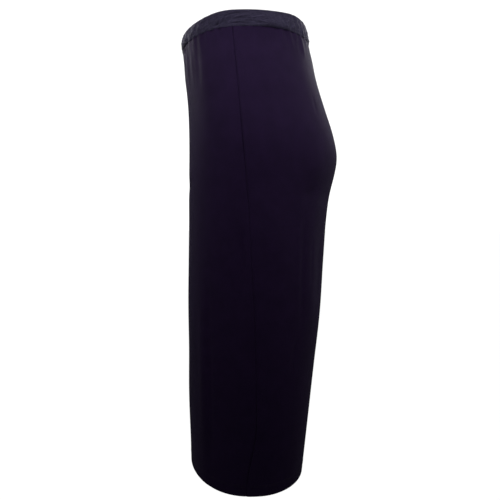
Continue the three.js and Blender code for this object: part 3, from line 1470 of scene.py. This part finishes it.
@dataclass
class Sewing:
    """The skirt's visible and inner stitch rows.

    The overlock thread goes a little past each raw edge, and lies a little clear of the cloth.
    """

    form: WornForm
    jersey: Jersey
    seams: SideSeams
    waist: WaistSeam
    hem_rows: tuple[float, ...] = (16.5, 19.2)
    hem_pitch: float = 3.0
    hem_stitch: float = 2.3
    hem_level: float = -810
    hem_clear: float = 0.9
    hem_proud: float = 0.08
    serge_thread: float = 0.36
    serge_pitch: float = 2.6
    serge_width: float = 4.2
    serge_past: float = 0.2
    serge_clear: float = 0.1
    seam_start: float = 10
    seam_end: float = 3
    band_inside: float = -3.35
    turn_up: float = TURN_UP
    mean_girth: float = 900
    measuring_points: int = 721

    def angles(self, start: float, end: float, level: float, pitch: float) -> Array:
        """Angles a pitch apart along the cloth between two angles.

        Args:
            start: first angle.
            end: last angle.
            level: level at which the pitch is measured.
            pitch: millimetres between neighbours.

        Returns:
            The angles.
        """
        fine = np.linspace(start, end, self.measuring_points)
        x, y = self.form.section_point(fine, level)
        run = np.concatenate([[0], np.cumsum(np.hypot(np.diff(x), np.diff(y)))])
        count = int(run[-1] / pitch)
        return np.interp(np.linspace(0, run[-1], count + 1), run, fine)

    def hem(self, side: Side, creases: Sequence[Crease]) -> bpy.types.Object:
        """Twin rows of stitches that hold a panel's turn-up, from side seam to side seam.

        Args:
            side: the panel's side of the body.
            creases: the panel's creases, which the stitches follow.

        Returns:
            The stitches.
        """
        label = "front" if side is Side.FRONT else "back"
        rows = Stitching(f"{label}_hem_stitches")
        left, right = (
            float(seam.at(np.array(self.hem_level))) for seam in (self.seams.left, self.seams.right)
        )
        first, last = (right - 360, left) if side is Side.FRONT else (left, right)
        first, last = first + self.hem_clear, last - self.hem_clear
        starts = self.angles(first, last, self.hem_level, self.hem_pitch)
        share = self.hem_stitch / self.hem_pitch
        ends = starts[:-1] + np.diff(starts) * share
        for above in self.hem_rows:
            places = []
            for angle in (starts[:-1], ends):
                level = self.form.hem_edge.at(angle) + above
                outside = self.hem_proud + self.seams.lift(angle, level)
                outside = outside + crease_relief(self.form, creases, angle, level)
                places.append(self.form.cloth_point(angle, level, outside))
            for start, end in zip(*places):
                rows.stitch(start, end)
        return rows.build()

    def serge(self, name: str, edge: Callable[[Array, Array], Array], count: int) -> bpy.types.Object:
        """A zigzag of overlock thread along a raw edge.

        Args:
            name: the piece's name.
            edge: gives points at shares of the way along it and distances in from the raw edge.
            count: how many stitches there are along it.

        Returns:
            The stitches.
        """
        rows = Stitching(name, thread=self.serge_thread)
        share, reach = np.meshgrid(
            np.linspace(0, 1, 2 * count + 1), [0.0, self.serge_width], indexing="ij"
        )
        points = edge(share, reach)
        for step in range(0, 2 * count, 2):
            rows.stitch(points[step, 0], points[step + 1, 1])
            rows.stitch(points[step + 1, 1], points[step + 2, 0])
        return rows.build()

    def side_seam(self, seam: SideSeam) -> bpy.types.Object:
        """Overlocked allowances of a side seam, on the inside.

        Args:
            seam: the side seam.

        Returns:
            The stitches.
        """
        way = 1 if seam.angle < 180 else -1
        top = float(self.form.band_seam_at(seam.angle)) - self.seam_start
        foot = float(self.form.hem_edge.at(seam.angle)) + self.turn_up + self.seam_end
        inside = -2 * self.jersey.turn_radius - self.jersey.layer_gap - self.jersey.thickness

        def edge(share: Array, reach: Array) -> Array:
            """Points on the innermost allowance."""
            level = top + (foot - top) * share
            depth = self.form.depth_at(Side.BACK.value, level)
            aside = np.degrees((self.seams.allowance + self.serge_past - reach) / depth)
            angle = seam.at(level) + way * aside
            outside = inside - self.serge_clear + self.seams.lift(angle, level)
            return self.form.cloth_point(angle, level, outside)

        label = "left" if way > 0 else "right"
        return self.serge(f"{label}_seam_overlock", edge, int((top - foot) / self.serge_pitch))

    def waist_seam(self) -> bpy.types.Object:
        """Overlocked allowances of the waist seam, on the inside.

        Returns:
            The stitches.
        """

        def edge(share: Array, reach: Array) -> Array:
            """Points on the waistband's inner allowance."""
            angle = 360 * share
            level = self.form.band_seam_at(angle) - self.seams.allowance - self.serge_past + reach
            outside = self.band_inside + self.waist.draw_in(angle, level) - self.waist.bulk(angle)
            return self.form.plain_point(angle, level, outside)

        return self.serge("waist_seam_overlock", edge, int(self.mean_girth / self.serge_pitch))

    def turn_up_edge(self) -> bpy.types.Object:
        """Overlocked raw edge of the hem's turn-up, on the inside.

        Returns:
            The stitches.
        """

        def edge(share: Array, reach: Array) -> Array:
            """Points on the turn-up's right side."""
            angle = 360 * share
            level = self.form.hem_edge.at(angle) + self.turn_up + self.serge_past - reach
            return self.form.cloth_point(angle, level, -2 * self.jersey.turn_radius - self.serge_clear)

        return self.serge("turn_up_overlock", edge, int(self.mean_girth / self.serge_pitch))


# ---- The skirt ----

# Creases of the front panel, from its left seam round to its right.
FRONT_CREASES = (
    Crease(83, 395, 150, 5, 0, -2.3),
    Crease(26, 9, 24, 3, 80, -1.4),
    Crease(88, 745, 95, 4, 6, -1.3),
    Crease(49, 52, 120, 6, 0, -1.4),
    Crease(40.5, 46, 105, 3.4, 0, 1.1),
    Crease(35.5, 46, 80, 2.2, 0, -0.8),
    Crease(31, 44, 90, 3.2, 0, 1.8),
    Crease(79, 5, 22, 2.6, 12, 0.7),
    Crease(84, 4, 20, 2.4, -8, 0.7),
    Crease(8, 44, 80, 4, 2, 0.9),
    Crease(-6, 38, 70, 3.5, -2, -0.8),
    Crease(-24, 42, 90, 4, 0, 1.0),
    Crease(-38, 48, 75, 3.4, 3, 1.1),
    Crease(-45, 40, 70, 3.4, 0, -0.9),
    Crease(-72, 350, 170, 8, -2, -1.6),
    Crease(-50, 560, 300, 8, -2, -1.9),
    Crease(-39, 610, 280, 9, -1, 1.8),
    Crease(14, 640, 220, 12, 2, 2.0),
    Crease(9, 250, 90, 9, 64, -1.8),
    Crease(-11, 262, 80, 9, -68, -1.6),
    Crease(24, 236, 70, 8, 72, 1.4),
    Crease(-20, 600, 260, 11, -2, -1.8),
)

# Creases of the back panel, from its left seam round to its right.
BACK_CREASES = (
    Crease(124.5, 400, 290, 4, 1, 0.9),
    Crease(129, 425, 290, 4.6, 1, -1.6),
    Crease(138.5, 405, 120, 4, 0, -1.1),
    Crease(123, 565, 120, 5.5, 13, -1.3),
    Crease(135, 238, 90, 15, 84, 1.6),
    Crease(97, 190, 140, 24, 10, 1.8),
    Crease(143, 127, 50, 2.6, 6, -1.1),
    Crease(133, 284, 62, 7, 78, -1.3),
    Crease(152, 290, 80, 8, 70, -1.4),
    Crease(147, 24, 50, 3.2, 0, 1.2),
    Crease(141, 22, 44, 2.6, 0, -0.9),
    Crease(134, 20, 40, 3, -4, 0.8),
    Crease(112, 14, 34, 3, 6, 0.6),
    Crease(170, 34, 70, 4, 0, 1.0),
    Crease(183, 30, 60, 3.5, 3, -0.9),
    Crease(196, 36, 75, 4, -2, 1.1),
    Crease(223, 26, 50, 3, 0, 1.0),
    Crease(229, 24, 46, 2.8, 0, -0.9),
    Crease(208, 288, 80, 8, -72, -1.4),
    Crease(226, 282, 60, 7, -78, -1.2),
    Crease(217, 132, 55, 3, -8, -1.0),
    Crease(224, 430, 230, 5, -3, 1.6),
    Crease(231, 480, 160, 5.5, -4, -1.6),
    Crease(240, 560, 140, 6, -12, 1.2),
)

# Creases of the waistband on the wearer's left: slanting ones ahead of the side seam, long level ones
# over and behind it, and short bunched ones towards the front and the back.
BAND_CREASES = (
    Crease(180, -17, 60, 0.9, 0, -0.5),
    Crease(70.5, -7, 20, 1.44, 52, -1.15),
    Crease(74, -11, 30, 1.36, 55, 0.77),
    Crease(76.5, -9, 32, 1.27, 52, -0.96),
    Crease(79, -12, 30, 1.36, 50, 1.02),
    Crease(81, -11, 30, 1.19, 48, -1.28),
    Crease(84, -14, 26, 1.36, 46, 1.02),
    Crease(86, -10, 24, 1.1, 52, -1.15),
    Crease(75, -6.6, 36, 1.2, 82, -1.98),
    Crease(92, -5.4, 34, 0.9, 92, -1.21),
    Crease(110, -5.8, 32, 1, 88, -1.54),
    Crease(91, -21, 60, 0.94, 84, -0.9),
    Crease(96, -17, 52, 1.02, 86, 0.9),
    Crease(98, -12.5, 44, 0.94, 88, -0.9),
    Crease(92, -7, 46, 1.02, 87, 0.75),
    Crease(104, -8, 40, 1.02, 92, -0.75),
    Crease(109, -16, 46, 1.02, 85, 0.75),
    Crease(113, -11, 34, 1.1, 80, -0.9),
    Crease(101, -4, 30, 1.02, 84, -0.75),
    Crease(32, -8, 14, 2.2, 20, 1.32),
    Crease(38, -17, 13, 2, -15, 1.32),
    Crease(44, -9, 15, 1.9, 35, 1.21),
    Crease(49, -18, 14, 1.8, 15, 1.21),
    Crease(54, -10, 14, 1.8, 40, 0.99),
    Crease(58, -20, 12, 1.6, 55, 1.1),
    Crease(62, -14, 16, 1.7, 30, -0.88),
    Crease(120, -19, 16, 1.8, -20, 0.88),
    Crease(127, -10, 18, 1.8, -30, 0.99),
    Crease(133, -17, 16, 1.8, 25, 1.21),
    Crease(139, -9, 15, 1.8, -15, 1.21),
    Crease(145, -16, 14, 1.8, 20, 1.32),
    Crease(150, -7, 14, 1.8, -25, 1.21),
)


@dataclass(frozen=True)
class CreaseScatter:
    """Short uneven creases for the part of the waistband that has none among the listed creases.

    Some slant and are longer, and the others stand nearly upright.
    """

    count: int = 64
    first: float = 154
    last: float = 388
    seed: int = 7
    spacing: float = 0.4
    drops: tuple[float, float] = (4, 21)
    slanting: float = 0.35
    slanting_leans: tuple[float, float] = (45, 85)
    slanting_lengths: tuple[float, float] = (20, 36)
    upright_leans: tuple[float, float] = (-30, 35)
    upright_lengths: tuple[float, float] = (12, 19)
    heights: tuple[float, float] = (0.6, 1.2)
    widths: tuple[float, float] = (1.3, 2.1)

    def creases(self) -> tuple[Crease, ...]:
        """Draws the creases, from the first angle to the last.

        Returns:
            The creases.
        """
        chance = np.random.RandomState(self.seed)
        creases = []
        for step in range(self.count):
            place = step + chance.uniform(-self.spacing, self.spacing)
            angle = self.first + (self.last - self.first) * place / self.count
            drop = -chance.uniform(*self.drops)
            if chance.uniform() < self.slanting:
                lean = chance.choice([-1, 1]) * chance.uniform(*self.slanting_leans)
                length = chance.uniform(*self.slanting_lengths)
            else:
                lean = chance.uniform(*self.upright_leans)
                length = chance.uniform(*self.upright_lengths)
            height = chance.choice([-1, 1]) * chance.uniform(*self.heights)
            creases.append(Crease(angle, drop, length, chance.uniform(*self.widths), lean, height))
        return tuple(creases)


@dataclass
class PencilSkirt:
    """The whole skirt: its form, its cloth and its sewing."""

    form: WornForm = field(default_factory=WornForm)
    jersey: Jersey = field(default_factory=Jersey)
    panel_finish: JerseyFinish = JerseyFinish("body_jersey_cloth", (0.019, 0.0085, 0.038))
    # The waistband is the body's jersey with painted light: a lighter, greyer colour for the light that
    # falls on the band, and pucker crests painted lighter with painted shade in their hollows.
    band_painted_light_finish: JerseyFinish = JerseyFinish(
        "band_jersey_painted_light", (0.039, 0.033, 0.065), pucker_depth=0.0006, pucker_painted_shade=0.28
    )
    thread_finish: ThreadFinish = ThreadFinish("sewing_thread", (0.016, 0.01, 0.026))

    def build(self) -> None:
        """Makes and dresses every piece."""
        knit = knit_group()
        nap = nap_group()
        puckers = pucker_group()
        cloth = self.panel_finish.material(knit, nap, puckers)
        band_cloth = self.band_painted_light_finish.material(knit, nap, puckers)
        thread = self.thread_finish.material()
        seams = SideSeams(self.form)
        waist = WaistSeam(self.form)
        sewing = Sewing(self.form, self.jersey, seams, waist)
        band_creases = BAND_CREASES + CreaseScatter().creases()

        front = Panel(Side.FRONT, self.form, self.jersey, seams, waist, FRONT_CREASES).build()
        back = Panel(Side.BACK, self.form, self.jersey, seams, waist, BACK_CREASES).build()
        band = Waistband(self.form, self.jersey, waist, band_creases).build()
        front_hem = sewing.hem(Side.FRONT, FRONT_CREASES)
        back_hem = sewing.hem(Side.BACK, BACK_CREASES)
        turn_up = sewing.turn_up_edge()
        left_seam = sewing.side_seam(seams.left)
        right_seam = sewing.side_seam(seams.right)
        waist_seam = sewing.waist_seam()

        for piece in (front, back):
            self.dress(piece, cloth)
        self.dress(band, band_cloth)
        for piece in (front_hem, back_hem, turn_up, left_seam, right_seam, waist_seam):
            self.dress(piece, thread)

        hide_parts("front_panel")
        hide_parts("back_panel")
        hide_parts("waistband")

    def dress(self, piece: bpy.types.Object, finish: bpy.types.Material) -> None:
        """Gives a piece its finish and its place on the body.

        Args:
            piece: the piece.
            finish: its material.
        """
        piece.data.materials.append(finish)
        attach(piece, "root")
        LOG.info("%s: %d faces", piece.name, len(piece.data.polygons))


# ---- The studio ----


@dataclass(frozen=True)
class SoftLight:
    """A square soft light, the point that it faces and the angle of its beam.

    Its sizes are in metres, its power in watts and its spread in degrees.
    """

    name: str
    place: tuple[float, float, float]
    target: tuple[float, float, float]
    width: float
    power: float
    spread: float

    def build(self) -> None:
        """Makes the light."""
        lamp = bpy.data.lights.new(self.name, "AREA")
        lamp.size = self.width
        lamp.energy = self.power
        lamp.spread = math.radians(self.spread)
        light = add_object(self.name, lamp)
        light.location = self.place
        aim = Vector(self.target) - Vector(self.place)
        light.rotation_euler = aim.to_track_quat("-Z", "Y").to_euler()
        light.visible_camera = False


@dataclass
class Studio:
    """A pale floor, a white surround, soft lights and the camera."""

    floor_drop: float = 0.3
    floor_reach: float = 60
    floor_sides: int = 96
    floor_colour: Colour = (0.1, 0.1, 0.1)
    ambient: float = 0.118
    white: float = 1.15
    camera_place: tuple[float, float, float] = (1.345, 0.014, -0.3575)
    camera_pitch: float = -2.309
    lens: float = 50
    sensor: float = 36
    lights: tuple[SoftLight, ...] = (
        SoftLight("overhead", (0, 0, 0.8), (0, 0, 0), 1.8, 13.3, 180),
        SoftLight("high_left", (1.22, 0, 0.7), (0, 0, -0.05), 0.6, 0.28, 50),
        SoftLight("high_right", (-1.22, 0, 0.7), (0, 0, -0.05), 0.6, 0.28, 50),
        SoftLight("low_left", (1.22, 0, 0.25), (0, 0, -0.05), 0.6, 0.19, 50),
        SoftLight("low_right", (-1.22, 0, 0.25), (0, 0, -0.05), 0.6, 0.19, 50),
        SoftLight("back_left", (0.86, 0.86, 0.25), (0, 0, -0.05), 0.6, 0.18, 50),
        SoftLight("back_right", (-0.86, 0.86, 0.25), (0, 0, -0.05), 0.6, 0.18, 50),
        SoftLight("back", (0, 1.22, 0.25), (0, 0, -0.28), 0.6, 0.4, 70),
        SoftLight("front_left", (0.86, -0.86, 0.45), (0, 0, -0.05), 0.6, 0.12, 50),
        SoftLight("front_right", (-0.86, -0.86, 0.45), (0, 0, -0.05), 0.6, 0.12, 50),
        SoftLight("front", (0, -1.22, 0.52), (0, 0, -0.05), 0.6, 0.3, 50),
        SoftLight("front_rim", (-0.9, -0.84, 0.6), (0.1, -0.05, 0.15), 0.3, 0.47, 22),
        SoftLight("back_rim", (-1.1, 0.6, 0.6), (0.1, 0.05, 0.04), 0.3, 0.27, 26),
    )

    def build(self, foot: float) -> None:
        """Sets up the studio.

        Args:
            foot: level of the skirt's lowest point, in metres.
        """
        self.build_floor(foot - self.floor_drop)
        self.build_surround()
        for light in self.lights:
            light.build()
        self.build_camera()
        bpy.context.scene.view_settings.view_transform = "Standard"

    def build_floor(self, level: float) -> None:
        """Makes the floor, which is white to the eye and sends little light up.

        Args:
            level: level of the floor, in metres.
        """
        disc = bmesh.new()
        bmesh.ops.create_circle(
            disc, cap_ends=True, segments=self.floor_sides, radius=self.floor_reach
        )
        bmesh.ops.translate(disc, vec=(0, 0, level), verts=disc.verts)
        mesh = bpy.data.meshes.new("floor")
        disc.to_mesh(mesh)
        disc.free()
        floor = add_object("floor", mesh)
        material, shader = new_material("pale_floor", self.floor_colour)
        shader.inputs["Base Color"].default_value = (*self.floor_colour, 1)
        shader.inputs["Roughness"].default_value = 1
        shader.inputs["Specular IOR Level"].default_value = 0
        shader.inputs["Emission Color"].default_value = (1, 1, 1, 1)
        rays = material.node_tree.nodes.new("ShaderNodeLightPath")
        material.node_tree.links.new(
            rays.outputs["Is Camera Ray"], shader.inputs["Emission Strength"]
        )
        floor.data.materials.append(material)
        floor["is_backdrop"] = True

    def build_surround(self) -> None:
        """Makes the white surround, which lights the skirt only faintly."""
        world = bpy.data.worlds.new("surround")
        bpy.context.scene.world = world
        world.use_nodes = True
        tree = world.node_tree
        background = tree.nodes["Background"]
        background.inputs["Color"].default_value = (1, 1, 1, 1)
        rays = tree.nodes.new("ShaderNodeLightPath")
        strength = maths(
            tree, "MULTIPLY_ADD", rays.outputs["Is Camera Ray"], self.white - self.ambient, self.ambient
        )
        tree.links.new(strength, background.inputs["Strength"])

    def build_camera(self) -> None:
        """Makes the camera, level with the thighs on the wearer's left."""
        camera_data = bpy.data.cameras.new("camera")
        camera_data.lens = self.lens
        camera_data.sensor_width = self.sensor
        camera = add_object("camera", camera_data)
        camera.location = self.camera_place
        camera.rotation_euler = (math.radians(90 + self.camera_pitch), 0, math.radians(90))
        bpy.context.scene.camera = camera


def main() -> None:
    """Builds the skirt and its studio, with the floor set below the skirt's lowest point."""
    logging.basicConfig(level=logging.INFO, format="%(name)s: %(message)s")
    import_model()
    solid_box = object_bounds()
    PencilSkirt().build()
    Studio().build(foot=float(solid_box[0][2]))


if __name__ == "__main__":
    main()
